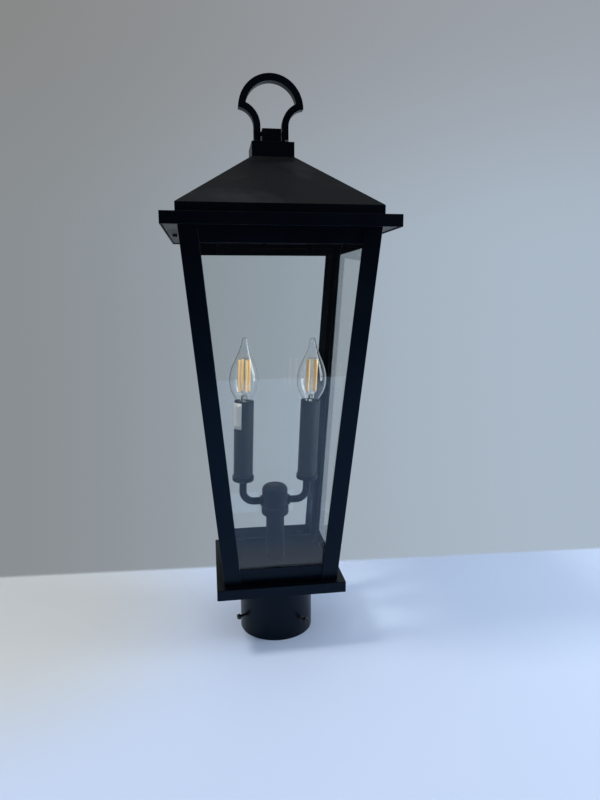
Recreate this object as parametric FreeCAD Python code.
import FreeCAD, Part
import math
import os

# Post top lantern with a lift-off roof and a two-candle lamp cluster.
# Millimetres. X right, Y to the back, Z up. The origin is the centre of the post
# fitter's lower edge, which is also the bottom centre of the whole lantern.

V = FreeCAD.Vector
UP = V(0, 0, 1)
ALONG_X = V(1, 0, 0)
ALONG_Y = V(0, 1, 0)

# ---- Post and post fitter
POST_DIAMETER = 76.2
POST_CLEARANCE = 1.7
FITTER_WALL = 2.2
FITTER_SHOWN_HEIGHT = 68.0
FITTER_WEB = 3.0
POST_STOP_HEIGHT = 56.0
POST_STOP_THICKNESS = 2.5
POST_STOP_OPENING = 58.0
SET_SCREW_HEIGHT = 22.0
SET_SCREW_DIAMETER = 3.8
SET_SCREW_LENGTH = 9.2
SET_SCREW_HEAD_DIAMETER = 6.2
SET_SCREW_HEAD_LENGTH = 3.0
SET_SCREW_TIP_RECESS = 0.1
SET_SCREW_ANGLES = {"left": -154.0, "right": -54.5, "back": 75.75}

# ---- Base tray and floor plate
TRAY_WIDTH = 139.6
TRAY_HEIGHT = 11.5
TRAY_SHEET = 1.5
TRAY_CORNER_RADIUS = 1.6
FLOOR_RISE = 5.0
FLOOR_SHEET = 1.2
FLOOR_CLEARANCE = 0.2

# ---- Tapered frame: corner posts, rails
FRAME_FOOT_WIDTH = 122.8
FRAME_RISE = 371.5
LEG_WIDTH = 17.9
LEG_SHEET = 1.5
RAIL_SHEET = 1.2
RAIL_FLANGE = 9.0
BOTTOM_RAIL_HEIGHT = 17.9
TOP_RAIL_HEIGHT = 15.4

# ---- Glass and its clips
GLASS_THICKNESS = 3.0
GLASS_SIDE_LAP = 7.0
GLASS_TOP_LAP = 9.0
CLIP_SHEET = 0.8
CLIP_WIDTH = 8.0
CLIP_LAP = 7.0
CLIP_EDGE_GAP = 0.4
CLIP_BASE_LENGTH = 7.0
CLIP_SHARE = 0.575  # of the frame's half width, from the middle of each side

# ---- Soffit plate and roof
SOFFIT_SHEET = 1.5
SOFFIT_RECESS = 1.0
SOFFIT_EDGE_GAP = 0.6
BRIM_WIDTH = 222.4
BRIM_OVERHANG = 15.1
BRIM_HEIGHT = 11.5
BRIM_SHEET = 1.2
BRIM_OPENING_WIDTH = 171.0
SKIRT_WIDTH = 195.8
SKIRT_HEIGHT = 9.7
ROOF_SHEET = 1.2
ROOF_FLANGE = 8.0
PYRAMID_HEIGHT = 56.4
PYRAMID_TOP_WIDTH = 44.5
BRACKET_SHEET = 1.5
BRACKET_LENGTH = 30.0
BRACKET_FOOT = 10.0
BRACKET_TOP_REACH = 10.0

# ---- Finial: blocks, bolt, pin and loop
CAP_BLOCK_WIDTH = 44.0
CAP_BLOCK_HEIGHT = 15.0
LOOP_BLOCK_WIDTH = 20.0
LOOP_BLOCK_HEIGHT = 15.4
LOOP_OUTER_RADIUS = 34.0
LOOP_BAR = 7.3
LOOP_DEPTH = 9.5
LOOP_TOP_ABOVE_CAP = 70.4
LOOP_LEG_WIDTH = 7.0
LOOP_LEG_GAP = 1.2
LOOP_SHOULDER_RADIUS = 18.0
LOOP_FOOT_GAP = 0.8
LOOP_PIN_DIAMETER = 4.5
LOOP_PIN_ABOVE_CAP = 11.9
FINIAL_BOLT_DIAMETER = 6.0
FINIAL_BOLT_IN_BLOCK = 8.0
FINIAL_BOLT_FLATS = 10.0
FINIAL_BOLT_HEAD_HEIGHT = 4.0
FINIAL_FLANGE_DIAMETER = 14.0
FINIAL_FLANGE_THICKNESS = 1.2

# ---- Stem, threaded rod and hub of the lamp cluster
STEM_DIAMETER = 21.0
STEM_WALL = 1.5
STEM_HEIGHT = 51.4
ROD_DIAMETER = 9.7
ROD_BORE = 6.6
ROD_BELOW_NUT = 1.0
ROD_ABOVE_NUT = 1.5
ROD_WASHER_DIAMETER = 22.0
ROD_WASHER_THICKNESS = 1.5
ROD_NUT_FLATS = 14.0
ROD_NUT_HEIGHT = 4.5
HUB_DIAMETER = 29.5
HUB_HEIGHT = 28.7
HUB_WALL = 2.0
HUB_FLOOR = 3.0
HUB_FOOT_DIAMETER = 31.5
HUB_FOOT_HEIGHT = 10.8
HUB_FOOT_RADIUS = 3.8
HUB_CAP_HEIGHT = 8.0
HUB_CAP_FLAT = 18.5
HUB_CAP_SPIGOT = 4.0
HUB_CAP_WALL = 2.0

# ---- Arms, candle cups, sockets and sleeves
CANDLE_SPACING = 73.6
CANDLE_LEAN_DEGREES = {"left": 1.8, "right": 2.8}
ARM_ABOVE_HUB_FOOT = 17.5
ARM_DIAMETER = 8.4
ARM_WALL = 1.0
ARM_BEND_RADIUS = 12.3
ARM_INSIDE_HUB = 4.0
COLLAR_DIAMETER = 12.2
COLLAR_THICKNESS = 2.2
CUP_DIAMETER = 24.6
CUP_HEIGHT = 6.5
CUP_FLOOR = 2.0
CUP_EDGE_RADIUS = 2.2
CUP_ABOVE_ARM = 24.4
ARM_NUT_FLATS = 12.0
ARM_NUT_HEIGHT = 3.0
ARM_ABOVE_NUT = 1.0
SLEEVE_DIAMETER = 22.0
SLEEVE_WALL = 0.9
SLEEVE_LENGTH = 91.3
BRACKET_STRIP_SHEET = 1.0
BRACKET_STRIP_WIDTH = 7.0
BRACKET_STRIP_FOOT_WIDTH = 11.2
SOCKET_DIAMETER = 16.0
SOCKET_LENGTH = 28.5
SOCKET_SHELF_HEIGHT = 45.2
SOCKET_BORE = 12.4
SOCKET_BORE_DEPTH = 14.8

# ---- Bulbs
BULB_BASE_DIAMETER = 11.8
BULB_BASE_LENGTH = 15.0
BULB_CONTACT_DIAMETER = 5.0
BULB_CONTACT_HEIGHT = 1.8
BULB_RIM_DIAMETER = 14.0
BULB_RIM_HEIGHT = 3.0
BULB_SEAT_GAP = 0.3
BULB_GLASS_WALL = 0.7
BULB_GLASS_SEAT = 2.0
# The envelope's outline: height above the base's top and outer radius.
BULB_OUTLINE = [
    (0.0, 6.2),
    (3.0, 6.2),
    (7.0, 7.0),
    (14.5, 9.2),
    (20.0, 12.3),
    (28.0, 15.3),
    (38.5, 16.7),
    (49.0, 15.4),
    (59.0, 11.8),
    (68.0, 6.9),
    (76.0, 3.6),
]
BULB_TIP_RINGS = [
    (80.0, 0.3, 2.6),
    (83.5, 0.7, 1.9),
    (86.0, 1.1, 1.2),
]
BULB_TURN = {"left": 18.0, "right": 45.0}
FILAMENT_DIAMETER = 2.3
FILAMENT_LENGTH = 36.0
FILAMENT_CIRCLE_RADIUS = 6.0
FILAMENT_ABOVE_BASE = 25.5
FILAMENT_COUNT = 4
MOUNT_STEM_DIAMETER = 6.4
MOUNT_STEM_HEIGHT = 22.0
MOUNT_FOOT_DIAMETER = 9.6
MOUNT_POST_DIAMETER = 1.6
MOUNT_POST_LAP = 1.5
MOUNT_CROSS_BAR = 0.9
MOUNT_CROSS_INSET = 1.0

# ---- Screws with a 4 mm shank, roof screws, leads
SCREW_DIAMETER = 4.0
SCREW_HEAD_DIAMETER = 6.4
SCREW_HEAD_HEIGHT = 2.4
SCREW_CROWN_SHARE = 0.45
FRAME_SCREW_LENGTH = 3.2
FRAME_SCREW_INSET = 8.5
FITTER_SCREW_CIRCLE_RADIUS = 32.0
ROOF_SCREW_DIAMETER = 3.0
ROOF_SCREW_LENGTH = 5.0
ROOF_SCREW_HEAD_DIAMETER = 5.4
ROOF_SCREW_HEAD_HEIGHT = 2.4
LEAD_DIAMETER = 1.8
LEAD_PAIR_PITCH = 2.1
LEAD_ROD_PITCH = 2.8
LEAD_HUB_BEND = 6.0
LEAD_FOOT_BEND = 4.5
CONNECTOR_LENGTH = 10.0
CONNECTOR_WIDTH = 11.0
CONNECTOR_HEIGHT = 6.0
CONNECTOR_OVERHANG = 1.0

# ---- Fits
THREAD_FIT = 0.05
CLEARANCE_FIT = 0.2
PIN_FIT = 0.05
SEAT_FIT = 0.05
EDGE_SOFTENING = 0.5

# ---- Levels that follow from the sizes above
FITTER_BORE_RADIUS = POST_DIAMETER / 2 + POST_CLEARANCE
FITTER_RADIUS = FITTER_BORE_RADIUS + FITTER_WALL
TRAY_TOP = FITTER_SHOWN_HEIGHT + TRAY_HEIGHT
FITTER_TOP = TRAY_TOP - TRAY_SHEET
WEB_UNDERSIDE = FITTER_TOP - FITTER_WEB
FRAME_TOP = TRAY_TOP + FRAME_RISE
FRAME_TOP_WIDTH = BRIM_WIDTH - 2 * BRIM_OVERHANG
TAPER = (FRAME_TOP_WIDTH - FRAME_FOOT_WIDTH) / 2 / FRAME_RISE
RAIL_FACE = LEG_SHEET
GLASS_FACE = RAIL_FACE + RAIL_SHEET
GLASS_BACK = GLASS_FACE + GLASS_THICKNESS
FLANGE_EDGE = GLASS_FACE + RAIL_FLANGE
FLOOR_TOP = TRAY_TOP + FLOOR_RISE
TOP_RAIL_BOTTOM = FRAME_TOP - TOP_RAIL_HEIGHT
GLASS_TOP = TOP_RAIL_BOTTOM + GLASS_TOP_LAP
SOFFIT_TOP = FRAME_TOP + SOFFIT_SHEET
BRIM_BOTTOM = FRAME_TOP - SOFFIT_RECESS
BRIM_TOP = BRIM_BOTTOM + BRIM_HEIGHT
BRIM_RIM_INNER = BRIM_WIDTH / 2 - BRIM_SHEET
SKIRT_TOP = BRIM_TOP + SKIRT_HEIGHT
ROOF_TOP = SKIRT_TOP + PYRAMID_HEIGHT
CAP_TOP = ROOF_TOP + CAP_BLOCK_HEIGHT
LOOP_PIN_Z = CAP_TOP + LOOP_PIN_ABOVE_CAP
STEM_TOP = FLOOR_TOP + STEM_HEIGHT
HUB_TOP = STEM_TOP + HUB_HEIGHT
ARM_Z = STEM_TOP + ARM_ABOVE_HUB_FOOT
CANDLE_X = CANDLE_SPACING / 2
CUP_BOTTOM = ARM_Z + CUP_ABOVE_ARM
CUP_SEAT = CUP_BOTTOM + CUP_FLOOR
SOCKET_BOTTOM = CUP_SEAT + SOCKET_SHELF_HEIGHT
SOCKET_TOP = SOCKET_BOTTOM + SOCKET_LENGTH
BULB_BOTTOM = SOCKET_TOP - SOCKET_BORE_DEPTH + BULB_SEAT_GAP
BULB_BASE_TOP = BULB_BOTTOM + BULB_CONTACT_HEIGHT + BULB_BASE_LENGTH
ROOF_SCREW_X = (FRAME_TOP_WIDTH / 2 + BRIM_RIM_INNER) / 2
ROD_BOTTOM = WEB_UNDERSIDE - ROD_WASHER_THICKNESS - ROD_NUT_HEIGHT - ROD_BELOW_NUT
ROD_TOP = STEM_TOP + HUB_FLOOR + ROD_NUT_HEIGHT + ROD_ABOVE_NUT

SIDES = ["front", "right", "back", "left"]
CORNERS = ["front_left", "front_right", "back_right", "back_left"]
HANDS = {"left": -1, "right": 1}


# ---------------------------------------------------------------- helpers
def save(name, *solids):
    shape = solids[0] if len(solids) == 1 else Part.makeCompound(list(solids))
    shape.exportStep("parts/" + name + ".step")


def rod(radius, low, high, x=0.0, y=0.0):
    return Part.makeCylinder(radius, high - low, V(x, y, low))


def tube(outer, inner, low, high, x=0.0, y=0.0):
    return rod(outer, low, high, x, y).cut(rod(inner, low, high, x, y))


def slab(width_x, width_y, low, high, x=0.0, y=0.0):
    corner = V(x - width_x / 2, y - width_y / 2, low)
    return Part.makeBox(width_x, width_y, high - low, corner)


def hexagon(flats, low, high, x=0.0, y=0.0):
    corner_radius = flats / math.sqrt(3)
    corners = []
    for step in range(7):
        angle = math.radians(60 * step)
        corners.append(V(x + corner_radius * math.cos(angle), y + corner_radius * math.sin(angle), low))
    return Part.Face(Part.makePolygon(corners)).extrude(V(0, 0, high - low))


def turned(shape, degrees):
    copy = shape.copy()
    copy.rotate(V(0, 0, 0), UP, degrees)
    return copy


def polygon_face(points):
    return Part.Face(Part.makePolygon(points + [points[0]]))


def solid_between(low, high):
    """Closed solid between two outlines with the same number of corners."""
    faces = [polygon_face(low), polygon_face(high)]
    for i in range(len(low)):
        j = (i + 1) % len(low)
        faces.append(polygon_face([low[i], low[j], high[j], high[i]]))
    solid = Part.Solid(Part.Shell(faces))
    if solid.Volume < 0:
        solid.reverse()
    return solid


def half_at(z):
    """Half the frame's outer width at a height."""
    return FRAME_FOOT_WIDTH / 2 + (z - TRAY_TOP) * TAPER


def tapered(outline, low_z, high_z):
    """Solid that follows the frame's taper; outline gives x, y for a half width."""
    low = [V(x, y, low_z) for x, y in outline(half_at(low_z))]
    high = [V(x, y, high_z) for x, y in outline(half_at(high_z))]
    return solid_between(low, high)


def mitred_layer(outer, inner, low_z, high_z):
    """Front side's layer between two depths behind the frame's face, mitred at its ends."""
    def outline(half):
        a = half - outer
        b = half - inner
        return [(-a, -a), (a, -a), (b, -b), (-b, -b)]
    return tapered(outline, low_z, high_z)


def revolved(points):
    """Solid turned about Z from radius, height pairs joined by straight lines."""
    corners = [V(r, 0, z) for r, z in points]
    return polygon_face(corners).revolve(V(0, 0, 0), UP, 360)


def soften(shape, radius, wanted):
    edges = [edge for edge in shape.Edges if wanted(edge)]
    return shape.makeFillet(radius, edges)


def is_vertical(edge):
    ends = [vertex.Point for vertex in edge.Vertexes]
    return len(ends) == 2 and abs(ends[0].x - ends[1].x) < 1e-6 and abs(ends[0].y - ends[1].y) < 1e-6


def is_at_height(edge, z):
    box = edge.BoundBox
    return abs(box.ZMin - z) < 1e-6 and abs(box.ZMax - z) < 1e-6


def screw(shank, length, head, head_height):
    """Pan-head screw, its head's underside at the origin and its shank downwards."""
    top = rod(head / 2, 0, head_height)
    top = soften(top, SCREW_CROWN_SHARE * head_height, lambda edge: is_at_height(edge, head_height))
    return top.fuse(rod(shank / 2, -length, 0)).removeSplitter()


def side_angle(number):
    """Turn about Z of the frame's side or corner with a number, the front being 0."""
    return 360 / len(SIDES) * number


def placed(shape, x, y, z):
    copy = shape.copy()
    copy.translate(V(x, y, z))
    return copy


# ---------------------------------------------------------------- post fitter
def post_fitter():
    body = tube(FITTER_RADIUS, FITTER_BORE_RADIUS, 0, FITTER_TOP)
    web = rod(FITTER_RADIUS, WEB_UNDERSIDE, FITTER_TOP)
    stop = tube(FITTER_RADIUS, POST_STOP_OPENING / 2, POST_STOP_HEIGHT,
                POST_STOP_HEIGHT + POST_STOP_THICKNESS)
    body = body.fuse(web).fuse(stop).removeSplitter()
    body = soften(body, EDGE_SOFTENING, lambda edge: is_at_height(edge, 0) and edge.BoundBox.XLength
                  > 2 * FITTER_BORE_RADIUS + FITTER_WALL)
    body = body.cut(rod(ROD_DIAMETER / 2 + CLEARANCE_FIT, WEB_UNDERSIDE - 1, FITTER_TOP + 1))
    for x, y in fitter_screw_places():
        body = body.cut(rod(SCREW_DIAMETER / 2 + THREAD_FIT, WEB_UNDERSIDE - 1, FITTER_TOP + 1, x, y))
    for angle in SET_SCREW_ANGLES.values():
        hole = Part.makeCylinder(SET_SCREW_DIAMETER / 2 + THREAD_FIT, 2 * FITTER_WALL + 2,
                                 V(FITTER_BORE_RADIUS - 2, 0, SET_SCREW_HEIGHT), ALONG_X)
        body = body.cut(turned(hole, angle))
    return body


def fitter_screw_places():
    places = []
    for quarter in range(4):
        angle = math.radians(45 + 90 * quarter)
        places.append((FITTER_SCREW_CIRCLE_RADIUS * math.cos(angle),
                       FITTER_SCREW_CIRCLE_RADIUS * math.sin(angle)))
    return places


def set_screw(angle):
    tip = FITTER_BORE_RADIUS + SET_SCREW_TIP_RECESS
    start = V(tip, 0, SET_SCREW_HEIGHT)
    shank = Part.makeCylinder(SET_SCREW_DIAMETER / 2, SET_SCREW_LENGTH, start, ALONG_X)
    head = Part.makeCylinder(SET_SCREW_HEAD_DIAMETER / 2, SET_SCREW_HEAD_LENGTH,
                             start + V(SET_SCREW_LENGTH, 0, 0), ALONG_X)
    head = soften(head, EDGE_SOFTENING, lambda edge: True)
    return turned(shank.fuse(head).removeSplitter(), angle)


# ---------------------------------------------------------------- base tray and floor
def base_tray():
    outer = slab(TRAY_WIDTH, TRAY_WIDTH, FITTER_SHOWN_HEIGHT, TRAY_TOP)
    outer = soften(outer, TRAY_CORNER_RADIUS, is_vertical)
    outer = soften(outer, EDGE_SOFTENING, lambda edge: is_at_height(edge, TRAY_TOP))
    inner_width = TRAY_WIDTH - 2 * TRAY_SHEET
    tray = outer.cut(slab(inner_width, inner_width, FITTER_SHOWN_HEIGHT - 1, TRAY_TOP - TRAY_SHEET))
    tray = tray.cut(rod(ROD_DIAMETER / 2 + CLEARANCE_FIT, FITTER_TOP - 1, TRAY_TOP + 1))
    for x, y in fitter_screw_places():
        tray = tray.cut(rod(SCREW_DIAMETER / 2 + CLEARANCE_FIT, FITTER_TOP - 1, TRAY_TOP + 1, x, y))
    for x, y in frame_screw_places(TRAY_TOP):
        tray = tray.cut(rod(SCREW_DIAMETER / 2 + THREAD_FIT, FITTER_TOP - 1, TRAY_TOP + 1, x, y))
    return tray


def frame_screw_places(z):
    reach = half_at(z) - FRAME_SCREW_INSET
    return [(0, -reach), (reach, 0), (0, reach), (-reach, 0)]


def floor_plate():
    bottom = TRAY_TOP + RAIL_SHEET
    width = 2 * (half_at(bottom) - GLASS_FACE - FLOOR_CLEARANCE)
    plate = slab(width, width, bottom, FLOOR_TOP)
    inner = width - 2 * FLOOR_SHEET
    plate = plate.cut(slab(inner, inner, bottom - 1, FLOOR_TOP - FLOOR_SHEET))
    return plate.cut(rod(ROD_DIAMETER / 2 + CLEARANCE_FIT, bottom, FLOOR_TOP + 1))


# ---------------------------------------------------------------- frame
def corner_post():
    """Front left corner's angle; the others are turned copies."""
    def outline(half):
        h = half
        w = LEG_WIDTH
        t = LEG_SHEET
        return [(-h, -h), (-h + w, -h), (-h + w, -h + t), (-h + t, -h + t), (-h + t, -h + w), (-h, -h + w)]
    post = tapered(outline, TRAY_TOP, FRAME_TOP)
    return soften(post, EDGE_SOFTENING, is_outer_corner)


def is_outer_corner(edge):
    ends = [vertex.Point for vertex in edge.Vertexes]
    return all(abs(end.x + half_at(end.z)) < 1e-4 and abs(end.y + half_at(end.z)) < 1e-4 for end in ends)


def bottom_rail():
    face = mitred_layer(RAIL_FACE, GLASS_FACE, TRAY_TOP, TRAY_TOP + BOTTOM_RAIL_HEIGHT)
    flange = mitred_layer(RAIL_FACE, FLANGE_EDGE, TRAY_TOP, TRAY_TOP + RAIL_SHEET)
    rail = face.fuse(flange).removeSplitter()
    x, y = frame_screw_places(TRAY_TOP)[0]
    return rail.cut(rod(SCREW_DIAMETER / 2 + CLEARANCE_FIT, TRAY_TOP - 1, TRAY_TOP + RAIL_SHEET + 1, x, y))


def top_rail():
    face = mitred_layer(RAIL_FACE, GLASS_FACE, TOP_RAIL_BOTTOM, FRAME_TOP)
    flange = mitred_layer(RAIL_FACE, FLANGE_EDGE, FRAME_TOP - RAIL_SHEET, FRAME_TOP)
    rail = face.fuse(flange).removeSplitter()
    x, y = frame_screw_places(FRAME_TOP)[0]
    return rail.cut(rod(SCREW_DIAMETER / 2 + THREAD_FIT, FRAME_TOP - RAIL_SHEET - 1, FRAME_TOP + 1, x, y))


def glass_pane():
    edge = LEG_WIDTH - GLASS_SIDE_LAP

    def outline(half):
        x = half - edge
        front = -half + GLASS_FACE
        back = -half + GLASS_BACK
        return [(-x, front), (x, front), (x, back), (-x, back)]
    return tapered(outline, FLOOR_TOP, GLASS_TOP)


def clip_strip(profile, x):
    """Strip across X whose profile gives depth behind the frame's face and height."""
    low = [V(x - CLIP_WIDTH / 2, -half_at(z) + depth, z) for depth, z in profile]
    high = [V(x + CLIP_WIDTH / 2, -half_at(z) + depth, z) for depth, z in profile]
    return solid_between(low, high)


def top_clips(side_angle):
    rest = GLASS_TOP + CLIP_EDGE_GAP
    top = FRAME_TOP - RAIL_SHEET
    profile = [
        (GLASS_FACE, top),
        (GLASS_FACE, rest),
        (GLASS_BACK, rest),
        (GLASS_BACK, GLASS_TOP - CLIP_LAP),
        (GLASS_BACK + CLIP_SHEET, GLASS_TOP - CLIP_LAP),
        (GLASS_BACK + CLIP_SHEET, rest + CLIP_SHEET),
        (GLASS_FACE + CLIP_SHEET, rest + CLIP_SHEET),
        (GLASS_FACE + CLIP_SHEET, top),
    ]
    reach = CLIP_SHARE * half_at(GLASS_TOP)
    return [turned(clip_strip(profile, x), side_angle) for x in (-reach, reach)]


def bottom_clips(side_angle):
    base_end = GLASS_BACK + CLIP_BASE_LENGTH
    profile = [
        (GLASS_BACK, FLOOR_TOP),
        (base_end, FLOOR_TOP),
        (base_end, FLOOR_TOP + CLIP_SHEET),
        (GLASS_BACK + CLIP_SHEET, FLOOR_TOP + CLIP_SHEET),
        (GLASS_BACK + CLIP_SHEET, FLOOR_TOP + CLIP_LAP),
        (GLASS_BACK, FLOOR_TOP + CLIP_LAP),
    ]
    reach = CLIP_SHARE * half_at(FLOOR_TOP)
    return [turned(clip_strip(profile, x), side_angle) for x in (-reach, reach)]


def frame_screws():
    pattern = screw(SCREW_DIAMETER, FRAME_SCREW_LENGTH, SCREW_HEAD_DIAMETER, SCREW_HEAD_HEIGHT)
    screws = [placed(pattern, x, y, TRAY_TOP + RAIL_SHEET) for x, y in frame_screw_places(TRAY_TOP)]
    screws += [placed(pattern, x, y, SOFFIT_TOP) for x, y in frame_screw_places(FRAME_TOP)]
    return screws


def fitter_screws():
    length = TRAY_SHEET + FITTER_WEB
    pattern = screw(SCREW_DIAMETER, length, SCREW_HEAD_DIAMETER, SCREW_HEAD_HEIGHT)
    return [placed(pattern, x, y, TRAY_TOP) for x, y in fitter_screw_places()]


# ---------------------------------------------------------------- soffit and roof
def soffit_plate():
    width = 2 * (BRIM_RIM_INNER - SOFFIT_EDGE_GAP)
    opening = 2 * (half_at(FRAME_TOP) - FLANGE_EDGE)
    plate = slab(width, width, FRAME_TOP, SOFFIT_TOP)
    plate = plate.cut(slab(opening, opening, FRAME_TOP - 1, SOFFIT_TOP + 1))
    for x, y in frame_screw_places(FRAME_TOP):
        plate = plate.cut(rod(SCREW_DIAMETER / 2 + CLEARANCE_FIT, FRAME_TOP - 1, SOFFIT_TOP + 1, x, y))
    for hand in HANDS.values():
        plate = plate.cut(rod(ROOF_SCREW_DIAMETER / 2 + CLEARANCE_FIT, FRAME_TOP - 1, SOFFIT_TOP + 1,
                              hand * ROOF_SCREW_X))
    return plate


def brim_pan():
    outer = slab(BRIM_WIDTH, BRIM_WIDTH, BRIM_BOTTOM, BRIM_TOP)
    outer = soften(outer, EDGE_SOFTENING, lambda edge: is_vertical(edge) or is_at_height(edge, BRIM_TOP))
    inner = 2 * BRIM_RIM_INNER
    pan = outer.cut(slab(inner, inner, BRIM_BOTTOM - 1, BRIM_TOP - BRIM_SHEET))
    return pan.cut(slab(BRIM_OPENING_WIDTH, BRIM_OPENING_WIDTH, BRIM_BOTTOM, BRIM_TOP + 1))


def square_ring(half, z):
    return [V(-half, -half, z), V(half, -half, z), V(half, half, z), V(-half, half, z)]


def roof_shell():
    skirt_half = SKIRT_WIDTH / 2
    top_half = PYRAMID_TOP_WIDTH / 2
    pitch = math.atan2(PYRAMID_HEIGHT, skirt_half - top_half)
    side_step = ROOF_SHEET / math.sin(pitch)
    pyramid = solid_between(square_ring(skirt_half, SKIRT_TOP), square_ring(top_half, ROOF_TOP))
    outer = slab(SKIRT_WIDTH, SKIRT_WIDTH, BRIM_TOP, SKIRT_TOP).fuse(pyramid).removeSplitter()
    outer = soften(outer, EDGE_SOFTENING, lambda edge: not is_at_height(edge, BRIM_TOP)
                   and not is_at_height(edge, ROOF_TOP))

    inner_half = skirt_half - ROOF_SHEET
    fold_z = SKIRT_TOP - (side_step - ROOF_SHEET) * math.tan(pitch)
    ceiling_z = ROOF_TOP - ROOF_SHEET
    ceiling_half = top_half + ROOF_SHEET / math.tan(pitch) - side_step
    hollow = slab(2 * inner_half, 2 * inner_half, BRIM_TOP - 1, fold_z)
    hollow = hollow.fuse(solid_between(square_ring(inner_half, fold_z), square_ring(ceiling_half, ceiling_z)))
    shell = outer.cut(hollow)

    flange_width = 2 * (inner_half - ROOF_FLANGE)
    flange = slab(2 * inner_half, 2 * inner_half, BRIM_TOP, BRIM_TOP + ROOF_SHEET)
    flange = flange.cut(slab(flange_width, flange_width, BRIM_TOP - 1, BRIM_TOP + ROOF_SHEET + 1))
    shell = shell.fuse(flange).removeSplitter()
    return shell.cut(rod(FINIAL_BOLT_DIAMETER / 2 + CLEARANCE_FIT, ceiling_z - 1, ROOF_TOP + 1))


def roof_bracket(hand):
    """Z-shaped bracket under the brim that the roof rests on and is screwed by."""
    foot_inner = ROOF_SCREW_X - BRACKET_FOOT / 2
    foot_outer = ROOF_SCREW_X + BRACKET_FOOT / 2
    web_outer = foot_inner + BRACKET_SHEET
    pan_underside = BRIM_TOP - BRIM_SHEET
    foot = slab(foot_outer - foot_inner, BRACKET_LENGTH, SOFFIT_TOP, SOFFIT_TOP + BRACKET_SHEET,
                (foot_inner + foot_outer) / 2)
    web = slab(BRACKET_SHEET, BRACKET_LENGTH, SOFFIT_TOP, pan_underside, (foot_inner + web_outer) / 2)
    top = slab(BRACKET_TOP_REACH, BRACKET_LENGTH, pan_underside - BRACKET_SHEET, pan_underside,
               web_outer - BRACKET_TOP_REACH / 2)
    bracket = foot.fuse(web).fuse(top).removeSplitter()
    bracket = bracket.cut(rod(ROOF_SCREW_DIAMETER / 2 + THREAD_FIT, SOFFIT_TOP - 1,
                              SOFFIT_TOP + BRACKET_SHEET + 1, ROOF_SCREW_X))
    return turned(bracket, 0 if hand > 0 else 180)


def roof_screw(hand):
    pattern = screw(ROOF_SCREW_DIAMETER, ROOF_SCREW_LENGTH, ROOF_SCREW_HEAD_DIAMETER, ROOF_SCREW_HEAD_HEIGHT)
    pattern.rotate(V(0, 0, 0), ALONG_X, 180)
    return placed(pattern, hand * ROOF_SCREW_X, 0, FRAME_TOP)


# ---------------------------------------------------------------- finial
def cap_block():
    block = slab(CAP_BLOCK_WIDTH, CAP_BLOCK_WIDTH, ROOF_TOP, CAP_TOP)
    block = soften(block, EDGE_SOFTENING, lambda edge: is_vertical(edge) or is_at_height(edge, CAP_TOP))
    return block.cut(rod(FINIAL_BOLT_DIAMETER / 2 + CLEARANCE_FIT, ROOF_TOP - 1, CAP_TOP + 1))


def loop_block():
    top = CAP_TOP + LOOP_BLOCK_HEIGHT
    block = slab(LOOP_BLOCK_WIDTH, LOOP_BLOCK_WIDTH, CAP_TOP, top)
    block = soften(block, EDGE_SOFTENING, lambda edge: is_vertical(edge) or is_at_height(edge, top))
    block = block.cut(rod(FINIAL_BOLT_DIAMETER / 2 + THREAD_FIT, CAP_TOP - 1,
                          CAP_TOP + FINIAL_BOLT_IN_BLOCK + THREAD_FIT))
    return block.cut(loop_pin_bar(PIN_FIT))


def loop_leg_outer():
    return LOOP_BLOCK_WIDTH / 2 + LOOP_LEG_GAP + LOOP_LEG_WIDTH


def loop_pin_bar(fit=0.0):
    reach = loop_leg_outer() + (1.0 if fit else 0.0)
    return Part.makeCylinder(LOOP_PIN_DIAMETER / 2 + fit, 2 * reach, V(-reach, 0, LOOP_PIN_Z), ALONG_X)


def finial_bolt():
    """Flange-head bolt from inside the roof up into the loop block."""
    ceiling = ROOF_TOP - ROOF_SHEET
    flange_low = ceiling - FINIAL_FLANGE_THICKNESS
    flange = rod(FINIAL_FLANGE_DIAMETER / 2, flange_low, ceiling)
    head = hexagon(FINIAL_BOLT_FLATS, flange_low - FINIAL_BOLT_HEAD_HEIGHT, flange_low)
    shank = rod(FINIAL_BOLT_DIAMETER / 2, ceiling, CAP_TOP + FINIAL_BOLT_IN_BLOCK)
    return head.fuse(flange).fuse(shank).removeSplitter()


def arc_through(centre, radius, start_degrees, end_degrees):
    def at(degrees):
        angle = math.radians(degrees)
        return V(centre[0] + radius * math.cos(angle), 0, centre[1] + radius * math.sin(angle))
    return Part.Arc(at(start_degrees), at((start_degrees + end_degrees) / 2), at(end_degrees)).toShape()


def circles_meet(centre_a, radius_a, centre_b, radius_b):
    """Upper meeting point of two circles in the loop's plane."""
    dx = centre_b[0] - centre_a[0]
    dz = centre_b[1] - centre_a[1]
    distance = math.hypot(dx, dz)
    along = (radius_a ** 2 - radius_b ** 2 + distance ** 2) / (2 * distance)
    aside = math.sqrt(radius_a ** 2 - along ** 2)
    x = centre_a[0] + (along * dx - aside * dz) / distance
    z = centre_a[1] + (along * dz + aside * dx) / distance
    return x, z


def degrees_from(centre, point):
    return math.degrees(math.atan2(point[1] - centre[1], point[0] - centre[0]))


def mirrored_x(shape):
    return shape.mirror(V(0, 0, 0), ALONG_X)


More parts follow.
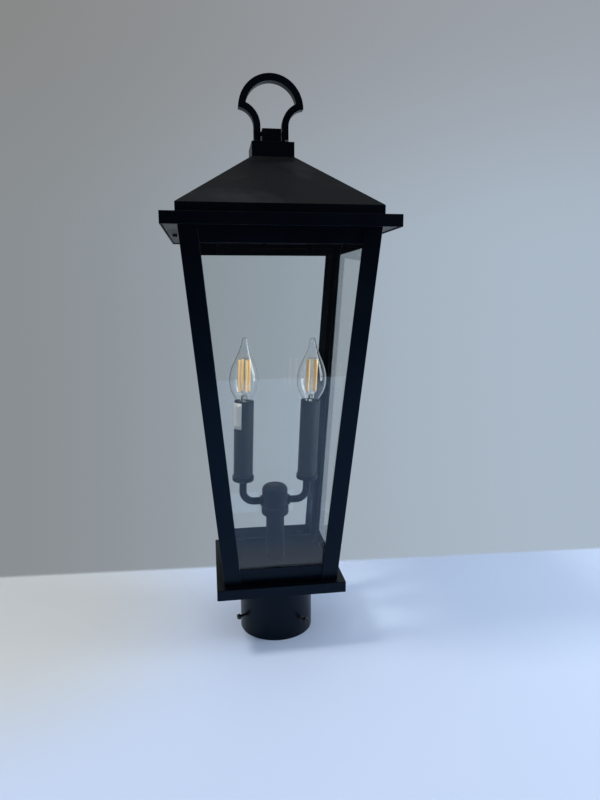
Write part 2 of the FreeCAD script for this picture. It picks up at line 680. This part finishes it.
def finial_loop():
    """Ring over two drawn-in legs, cut from bar and pinned at the legs' feet."""
    ring = (0.0, CAP_TOP + LOOP_TOP_ABOVE_CAP - LOOP_OUTER_RADIUS)
    leg_outer = loop_leg_outer()
    leg_inner = leg_outer - LOOP_LEG_WIDTH
    shoulder_x = leg_outer + LOOP_SHOULDER_RADIUS
    shoulder_z = ring[1] - math.sqrt(LOOP_SHOULDER_RADIUS ** 2 - (shoulder_x - LOOP_OUTER_RADIUS) ** 2)
    shoulder = (shoulder_x, shoulder_z)
    wide = LOOP_SHOULDER_RADIUS + LOOP_LEG_WIDTH
    tip = (LOOP_OUTER_RADIUS, ring[1])
    inner_radius = LOOP_OUTER_RADIUS - LOOP_BAR
    notch = circles_meet(ring, inner_radius, shoulder, wide)
    foot = CAP_TOP + LOOP_FOOT_GAP

    notch_angle = degrees_from(ring, notch)
    right = [
        arc_through(shoulder, LOOP_SHOULDER_RADIUS, 180, degrees_from(shoulder, tip)),
        arc_through(shoulder, wide, 180, degrees_from(shoulder, notch)),
        Part.makeLine(V(leg_outer, 0, shoulder_z), V(leg_outer, 0, foot)),
        Part.makeLine(V(leg_outer, 0, foot), V(leg_inner, 0, foot)),
        Part.makeLine(V(leg_inner, 0, foot), V(leg_inner, 0, shoulder_z)),
    ]
    left = [mirrored_x(edge) for edge in right]
    crown = [
        arc_through(ring, LOOP_OUTER_RADIUS, 0, 180),
        arc_through(ring, inner_radius, notch_angle, 180 - notch_angle),
    ]
    outline = Part.Wire(Part.__sortEdges__(right + left + crown))
    loop = Part.Face(outline).extrude(V(0, LOOP_DEPTH, 0))
    loop.translate(V(0, -LOOP_DEPTH / 2, 0))
    round_z = foot + LOOP_DEPTH / 2
    keep = Part.makeCylinder(LOOP_DEPTH / 2, 2 * leg_outer, V(-leg_outer, 0, round_z), ALONG_X)
    upper = slab(3 * LOOP_OUTER_RADIUS, 2 * LOOP_DEPTH, round_z, CAP_TOP + 2 * LOOP_TOP_ABOVE_CAP)
    return loop.common(keep.fuse(upper)).cut(loop_pin_bar(PIN_FIT))


# ---------------------------------------------------------------- lamp cluster
def stem_tube():
    return tube(STEM_DIAMETER / 2, STEM_DIAMETER / 2 - STEM_WALL, FLOOR_TOP, STEM_TOP)


def stem_rod():
    return tube(ROD_DIAMETER / 2, ROD_BORE / 2, ROD_BOTTOM, ROD_TOP)


def rod_washer():
    top = WEB_UNDERSIDE
    return tube(ROD_WASHER_DIAMETER / 2, ROD_DIAMETER / 2 + CLEARANCE_FIT, top - ROD_WASHER_THICKNESS, top)


def rod_nuts():
    low = WEB_UNDERSIDE - ROD_WASHER_THICKNESS - ROD_NUT_HEIGHT
    nuts = []
    for bottom in (low, STEM_TOP + HUB_FLOOR):
        nut = hexagon(ROD_NUT_FLATS, bottom, bottom + ROD_NUT_HEIGHT)
        nuts.append(nut.cut(rod(ROD_DIAMETER / 2 + THREAD_FIT, bottom - 1, bottom + ROD_NUT_HEIGHT + 1)))
    return nuts


def hub_body():
    """Cup with a wider foot below the arms."""
    floor_top = STEM_TOP + HUB_FLOOR
    foot_top = STEM_TOP + HUB_FOOT_HEIGHT
    foot = rod(HUB_FOOT_DIAMETER / 2, STEM_TOP, foot_top)
    foot = soften(foot, HUB_FOOT_RADIUS, lambda edge: is_at_height(edge, STEM_TOP))
    foot = soften(foot, EDGE_SOFTENING, lambda edge: is_at_height(edge, foot_top))
    body = foot.fuse(rod(HUB_DIAMETER / 2, floor_top, HUB_TOP)).removeSplitter()
    body = body.cut(rod(HUB_DIAMETER / 2 - HUB_WALL, floor_top, HUB_TOP + 1))
    body = body.cut(rod(ROD_DIAMETER / 2 + CLEARANCE_FIT, STEM_TOP - 1, STEM_TOP + HUB_FLOOR + 1))
    return body.cut(Part.makeCylinder(ARM_DIAMETER / 2 + SEAT_FIT, 2 * HUB_DIAMETER,
                                      V(-HUB_DIAMETER, 0, ARM_Z), ALONG_X))


def hub_cap():
    radius = HUB_DIAMETER / 2
    flat = HUB_CAP_FLAT / 2
    top = HUB_TOP + HUB_CAP_HEIGHT
    slant = math.cos(math.pi / 4)
    middle = V(flat + (radius - flat) * slant, 0, HUB_TOP + HUB_CAP_HEIGHT * slant)
    spigot = radius - HUB_WALL - SEAT_FIT
    spigot_low = HUB_TOP - HUB_CAP_SPIGOT
    edges = [
        Part.Arc(V(radius, 0, HUB_TOP), middle, V(flat, 0, top)).toShape(),
        Part.makeLine(V(flat, 0, top), V(0, 0, top)),
        Part.makeLine(V(0, 0, top), V(0, 0, top - HUB_CAP_WALL)),
        Part.makeLine(V(0, 0, top - HUB_CAP_WALL), V(spigot - HUB_CAP_WALL, 0, HUB_TOP)),
        Part.makeLine(V(spigot - HUB_CAP_WALL, 0, HUB_TOP), V(spigot - HUB_CAP_WALL, 0, spigot_low)),
        Part.makeLine(V(spigot - HUB_CAP_WALL, 0, spigot_low), V(spigot, 0, spigot_low)),
        Part.makeLine(V(spigot, 0, spigot_low), V(spigot, 0, HUB_TOP)),
        Part.makeLine(V(spigot, 0, HUB_TOP), V(radius, 0, HUB_TOP)),
    ]
    return Part.Face(Part.Wire(edges)).revolve(V(0, 0, 0), UP, 360)


def lean_of(hand):
    """Degrees by which a candle leans towards +X."""
    return CANDLE_LEAN_DEGREES["right" if hand > 0 else "left"]


def at_candle(shape, hand):
    """Copy of a shape built on the Z axis, moved to a candle's place and leaned with its arm."""
    copy = placed(shape, hand * CANDLE_X, 0, 0)
    bend_centre = V(hand * (CANDLE_X - ARM_BEND_RADIUS), 0, ARM_Z + ARM_BEND_RADIUS)
    copy.rotate(bend_centre, ALONG_Y, lean_of(hand))
    return copy


def bent_bar(radius, start_x, end_z, outward):
    """Right-hand round bar from the hub up into the cup, its end leaning outward by degrees."""
    bend_x = CANDLE_X - ARM_BEND_RADIUS
    bend_z = ARM_Z + ARM_BEND_RADIUS
    bend_centre = V(bend_x, 0, bend_z)
    level = Part.makeCylinder(radius, bend_x - start_x, V(start_x, 0, ARM_Z), ALONG_X)
    ring = Part.Face(Part.Wire(Part.makeCircle(radius, V(bend_x, 0, ARM_Z), ALONG_X)))
    bend = ring.revolve(bend_centre, V(0, -1, 0), 90 - outward)
    riser = rod(radius, bend_z, end_z, CANDLE_X)
    riser.rotate(bend_centre, ALONG_Y, outward)
    return level.fuse(bend).fuse(riser).removeSplitter()


def arm_top():
    return CUP_SEAT + BRACKET_STRIP_SHEET + ARM_NUT_HEIGHT + ARM_ABOVE_NUT


def lamp_arm(hand):
    """Bent tube with the collar that meets the hub brazed round it."""
    inner_end = HUB_DIAMETER / 2 - HUB_WALL - ARM_INSIDE_HUB
    outward = hand * lean_of(hand)
    outer = bent_bar(ARM_DIAMETER / 2, inner_end, arm_top(), outward)
    bore = bent_bar(ARM_DIAMETER / 2 - ARM_WALL, inner_end - 1, arm_top() + 1, outward)
    collar_end = HUB_DIAMETER / 2 + COLLAR_THICKNESS
    collar = Part.makeCylinder(COLLAR_DIAMETER / 2, collar_end, V(0, 0, ARM_Z), ALONG_X)
    collar = collar.cut(rod(HUB_DIAMETER / 2, STEM_TOP, HUB_TOP))
    return turned(outer.fuse(collar).removeSplitter().cut(bore), 0 if hand > 0 else 180)


def candle_cup(hand):
    radius = CUP_DIAMETER / 2
    flat = radius - CUP_EDGE_RADIUS
    side_low = CUP_BOTTOM + CUP_EDGE_RADIUS
    slant = CUP_EDGE_RADIUS * math.cos(math.pi / 4)
    edge_middle = V(flat + slant, 0, side_low - slant)
    seat = SLEEVE_DIAMETER / 2 + SEAT_FIT
    bore = ARM_DIAMETER / 2 + SEAT_FIT
    top = CUP_BOTTOM + CUP_HEIGHT
    edges = [
        Part.makeLine(V(bore, 0, CUP_BOTTOM), V(flat, 0, CUP_BOTTOM)),
        Part.Arc(V(flat, 0, CUP_BOTTOM), edge_middle, V(radius, 0, side_low)).toShape(),
        Part.makeLine(V(radius, 0, side_low), V(radius, 0, top)),
        Part.makeLine(V(radius, 0, top), V(seat, 0, top)),
        Part.makeLine(V(seat, 0, top), V(seat, 0, CUP_SEAT)),
        Part.makeLine(V(seat, 0, CUP_SEAT), V(bore, 0, CUP_SEAT)),
        Part.makeLine(V(bore, 0, CUP_SEAT), V(bore, 0, CUP_BOTTOM)),
    ]
    cup = Part.Face(Part.Wire(edges)).revolve(V(0, 0, 0), UP, 360)
    return at_candle(cup, hand)


def socket_bracket(hand):
    """Steel strip from the cup's floor up to the shelf that the socket stands on."""
    radius = SLEEVE_DIAMETER / 2 - SLEEVE_WALL - CLEARANCE_FIT
    strip = BRACKET_STRIP_SHEET
    leg_outer = math.sqrt(radius ** 2 - (BRACKET_STRIP_WIDTH / 2) ** 2)
    foot = slab(BRACKET_STRIP_FOOT_WIDTH, 2 * leg_outer, CUP_SEAT, CUP_SEAT + strip)
    foot = foot.common(rod(radius, CUP_SEAT, CUP_SEAT + strip))
    leg = slab(BRACKET_STRIP_WIDTH, strip, CUP_SEAT, SOCKET_BOTTOM, 0, leg_outer - strip / 2)
    shelf = rod(SOCKET_DIAMETER / 2, SOCKET_BOTTOM - strip, SOCKET_BOTTOM)
    bridge = slab(BRACKET_STRIP_WIDTH, leg_outer, SOCKET_BOTTOM - strip, SOCKET_BOTTOM, 0, leg_outer / 2)
    bracket = foot.fuse(leg).fuse(shelf).fuse(bridge).removeSplitter()
    bracket = bracket.cut(rod(ARM_DIAMETER / 2 + SEAT_FIT, CUP_SEAT - 1, CUP_SEAT + strip + 1))
    lead_hole = LEAD_PAIR_PITCH / 2 + LEAD_DIAMETER
    bracket = bracket.cut(rod(lead_hole, SOCKET_BOTTOM - strip - 1, SOCKET_BOTTOM + 1))
    return at_candle(bracket, hand)


def arm_nut(hand):
    low = CUP_SEAT + BRACKET_STRIP_SHEET
    nut = hexagon(ARM_NUT_FLATS, low, low + ARM_NUT_HEIGHT)
    nut = nut.cut(rod(ARM_DIAMETER / 2 + THREAD_FIT, low - 1, low + ARM_NUT_HEIGHT + 1))
    return at_candle(nut, hand)


def lamp_socket(hand):
    body = rod(SOCKET_DIAMETER / 2, SOCKET_BOTTOM, SOCKET_TOP)
    body = body.cut(rod(SOCKET_BORE / 2, SOCKET_TOP - SOCKET_BORE_DEPTH, SOCKET_TOP + 1))
    return at_candle(body, hand)


def candle_sleeve(hand):
    sleeve = tube(SLEEVE_DIAMETER / 2, SLEEVE_DIAMETER / 2 - SLEEVE_WALL, CUP_SEAT, CUP_SEAT + SLEEVE_LENGTH)
    return at_candle(sleeve, hand)


# ---------------------------------------------------------------- leads
def lead_path(y, outward):
    """Right-hand lead's centre line: socket, arm, hub, rod, then out to its connector."""
    lean = math.radians(outward)
    half_bend = math.radians((90 + outward) / 2)
    bend_x = CANDLE_X - ARM_BEND_RADIUS
    bend_z = ARM_Z + ARM_BEND_RADIUS
    rod_x = LEAD_ROD_PITCH / 2
    hub_x = rod_x + LEAD_HUB_BEND
    hub_z = ARM_Z - LEAD_HUB_BEND
    exit_z = connector_middle()
    foot_z = exit_z + LEAD_FOOT_BEND
    foot_x = rod_x + LEAD_FOOT_BEND
    slant = math.cos(math.pi / 4)

    def point(x, z):
        return V(x, y, z)

    def leaned(x, z):
        across = x - bend_x
        above = z - bend_z
        return point(bend_x + across * math.cos(lean) + above * math.sin(lean),
                     bend_z + above * math.cos(lean) - across * math.sin(lean))

    def quarter(start, centre, end, side_x, side_z, radius):
        middle = point(centre[0] + side_x * radius * slant, centre[1] + side_z * radius * slant)
        return Part.Arc(point(*start), middle, point(*end)).toShape()

    arm_middle = point(bend_x + ARM_BEND_RADIUS * math.cos(half_bend),
                       bend_z - ARM_BEND_RADIUS * math.sin(half_bend))
    return [
        Part.makeLine(leaned(CANDLE_X, SOCKET_BOTTOM), leaned(CANDLE_X, bend_z)),
        Part.Arc(leaned(CANDLE_X, bend_z), arm_middle, point(bend_x, ARM_Z)).toShape(),
        Part.makeLine(point(bend_x, ARM_Z), point(hub_x, ARM_Z)),
        quarter((hub_x, ARM_Z), (hub_x, hub_z), (rod_x, hub_z), -1, 1, LEAD_HUB_BEND),
        Part.makeLine(point(rod_x, hub_z), point(rod_x, foot_z)),
        quarter((rod_x, foot_z), (foot_x, foot_z), (foot_x, exit_z), -1, -1, LEAD_FOOT_BEND),
        Part.makeLine(point(foot_x, exit_z), point(connector_face(), exit_z)),
    ]


def connector_middle():
    return POST_STOP_HEIGHT + POST_STOP_THICKNESS + CONNECTOR_HEIGHT / 2


def connector_face():
    return POST_STOP_OPENING / 2 - CONNECTOR_OVERHANG


def lamp_lead(hand, y):
    edges = lead_path(y, hand * lean_of(hand))
    path = Part.Wire(edges)
    first = edges[0]
    start = first.valueAt(first.FirstParameter)
    section = Part.Wire(Part.makeCircle(LEAD_DIAMETER / 2, start, first.tangentAt(first.FirstParameter)))
    lead = path.makePipeShell([section], True, False)
    expected = math.pi * (LEAD_DIAMETER / 2) ** 2 * path.Length
    print("lead length", round(path.Length, 1))
    print("lead volume over section times length", round(lead.Volume / expected, 4))
    return turned(lead, 0 if hand > 0 else 180)


def lead_connector(hand):
    low = POST_STOP_HEIGHT + POST_STOP_THICKNESS
    block = slab(CONNECTOR_LENGTH, CONNECTOR_WIDTH, low, low + CONNECTOR_HEIGHT,
                 connector_face() + CONNECTOR_LENGTH / 2)
    block = soften(block, EDGE_SOFTENING, is_vertical)
    return turned(block, 0 if hand > 0 else 180)


# ---------------------------------------------------------------- bulbs
def bulb_base(hand):
    shell_low = BULB_BOTTOM + BULB_CONTACT_HEIGHT
    rim_top = BULB_BASE_TOP + BULB_GLASS_SEAT
    rim_low = rim_top - BULB_RIM_HEIGHT
    seat = BULB_OUTLINE[0][1] + CLEARANCE_FIT
    points = [
        (0, BULB_BOTTOM),
        (BULB_CONTACT_DIAMETER / 2, BULB_BOTTOM),
        (BULB_BASE_DIAMETER / 2, shell_low),
        (BULB_BASE_DIAMETER / 2, rim_low),
        (BULB_RIM_DIAMETER / 2, rim_low),
        (BULB_RIM_DIAMETER / 2, rim_top),
        (seat, rim_top),
        (seat, BULB_BASE_TOP),
        (0, BULB_BASE_TOP),
    ]
    return at_candle(revolved(points), hand)


def envelope_solid(wall):
    """Envelope's body, drawn in by a wall thickness."""
    low = BULB_BASE_TOP + BULB_OUTLINE[0][0]
    high = BULB_BASE_TOP + BULB_OUTLINE[-1][0]
    foot = BULB_OUTLINE[0][1] - wall
    head = BULB_OUTLINE[-1][1] - wall
    side = Part.BSplineCurve()
    side.interpolate([V(radius - wall, 0, BULB_BASE_TOP + height) for height, radius in BULB_OUTLINE])
    edges = [
        side.toShape(),
        Part.makeLine(V(head, 0, high), V(0, 0, high)),
        Part.makeLine(V(0, 0, high), V(0, 0, low)),
        Part.makeLine(V(0, 0, low), V(foot, 0, low)),
    ]
    return Part.Face(Part.Wire(edges)).revolve(V(0, 0, 0), UP, 360)


def bulb_glass(hand):
    rings = [Part.Wire(Part.makeCircle(BULB_OUTLINE[-1][1], V(0, 0, BULB_BASE_TOP + BULB_OUTLINE[-1][0])))]
    for height, aside, radius in BULB_TIP_RINGS:
        rings.append(Part.Wire(Part.makeCircle(radius, V(aside, 0, BULB_BASE_TOP + height))))
    tip = Part.makeLoft(rings, True, False)
    glass = envelope_solid(0).fuse(tip).removeSplitter()
    glass = glass.cut(envelope_solid(BULB_GLASS_WALL))
    return at_candle(glass, hand)


def bulb_mount(name, hand):
    """Glass stem on the base, with the filament sticks stood round it on two flat crosses."""
    stem_top = BULB_BASE_TOP + MOUNT_STEM_HEIGHT
    low = BULB_BASE_TOP + FILAMENT_ABOVE_BASE
    high = low + FILAMENT_LENGTH
    foot = MOUNT_FOOT_DIAMETER / 2
    stem = MOUNT_STEM_DIAMETER / 2
    waist = BULB_BASE_TOP + MOUNT_STEM_HEIGHT / 2
    outline = [(0, BULB_BASE_TOP), (foot, BULB_BASE_TOP), (stem, waist), (stem, stem_top), (0, stem_top)]
    bar = MOUNT_CROSS_BAR
    reach = FILAMENT_CIRCLE_RADIUS
    low_cross = low + MOUNT_CROSS_INSET
    high_cross = high - MOUNT_CROSS_INSET - bar
    pieces = [rod(MOUNT_POST_DIAMETER / 2, stem_top - MOUNT_POST_LAP, low_cross + bar + MOUNT_POST_LAP)]
    for z in (low_cross, high_cross):
        cross = slab(2 * reach, bar, z, z + bar)
        pieces += [cross, turned(cross, 90)]
    for number in range(FILAMENT_COUNT):
        stick = rod(FILAMENT_DIAMETER / 2, low, high, reach)
        pieces.append(turned(stick, 360.0 / FILAMENT_COUNT * number))
    mount = revolved(outline).multiFuse(pieces)
    return at_candle(turned(mount, BULB_TURN[name]), hand)


# ---------------------------------------------------------------- build
def build_body():
    save("post_fitter", post_fitter())
    save("base_tray", base_tray())
    save("floor_plate", floor_plate())
    save("soffit_plate", soffit_plate())
    for number, name in enumerate(CORNERS):
        save("corner_post_" + name, turned(corner_post(), side_angle(number)))
    clips = []
    for number, name in enumerate(SIDES):
        angle = side_angle(number)
        save("bottom_rail_" + name, turned(bottom_rail(), angle))
        save("top_rail_" + name, turned(top_rail(), angle))
        save("glass_pane_" + name, turned(glass_pane(), angle))
        clips += top_clips(angle)
        clips += bottom_clips(angle)
    save("glass_clips", *clips)
    save("frame_screws", *frame_screws())
    save("fitter_screws", *fitter_screws())


def build_cluster():
    save("stem_tube", stem_tube())
    save("stem_rod", stem_rod())
    save("rod_washer", rod_washer())
    save("rod_nuts", *rod_nuts())
    save("hub_body", hub_body())
    save("hub_cap", hub_cap())
    save("arm_nuts", *[arm_nut(hand) for hand in HANDS.values()])
    save("socket_brackets", *[socket_bracket(hand) for hand in HANDS.values()])
    save("lead_connectors", *[lead_connector(hand) for hand in HANDS.values()])
    leads = []
    for name, hand in HANDS.items():
        save("lamp_arm_" + name, lamp_arm(hand))
        save("candle_cup_" + name, candle_cup(hand))
        save("candle_sleeve_" + name, candle_sleeve(hand))
        save("lamp_socket_" + name, lamp_socket(hand))
        save("bulb_base_" + name, bulb_base(hand))
        save("bulb_glass_" + name, bulb_glass(hand))
        save("bulb_mount_" + name, bulb_mount(name, hand))
        for y in (-LEAD_PAIR_PITCH / 2, LEAD_PAIR_PITCH / 2):
            leads.append(lamp_lead(hand, y))
    save("lamp_leads", *leads)


def build_roof():
    save("brim_pan", brim_pan())
    save("roof_shell", roof_shell())
    save("roof_brackets", *[roof_bracket(hand) for hand in HANDS.values()])
    save("cap_block", cap_block())
    save("loop_block", loop_block())
    save("finial_bolt", finial_bolt())
    save("loop_pin", loop_pin_bar())
    save("finial_loop", finial_loop())


def build_loose_screws():
    for name, angle in SET_SCREW_ANGLES.items():
        save("set_screw_" + name, set_screw(angle))
    for name, hand in HANDS.items():
        save("roof_screw_" + name, roof_screw(hand))


os.makedirs("parts", exist_ok=True)
build_body()
build_cluster()
build_roof()
build_loose_screws()
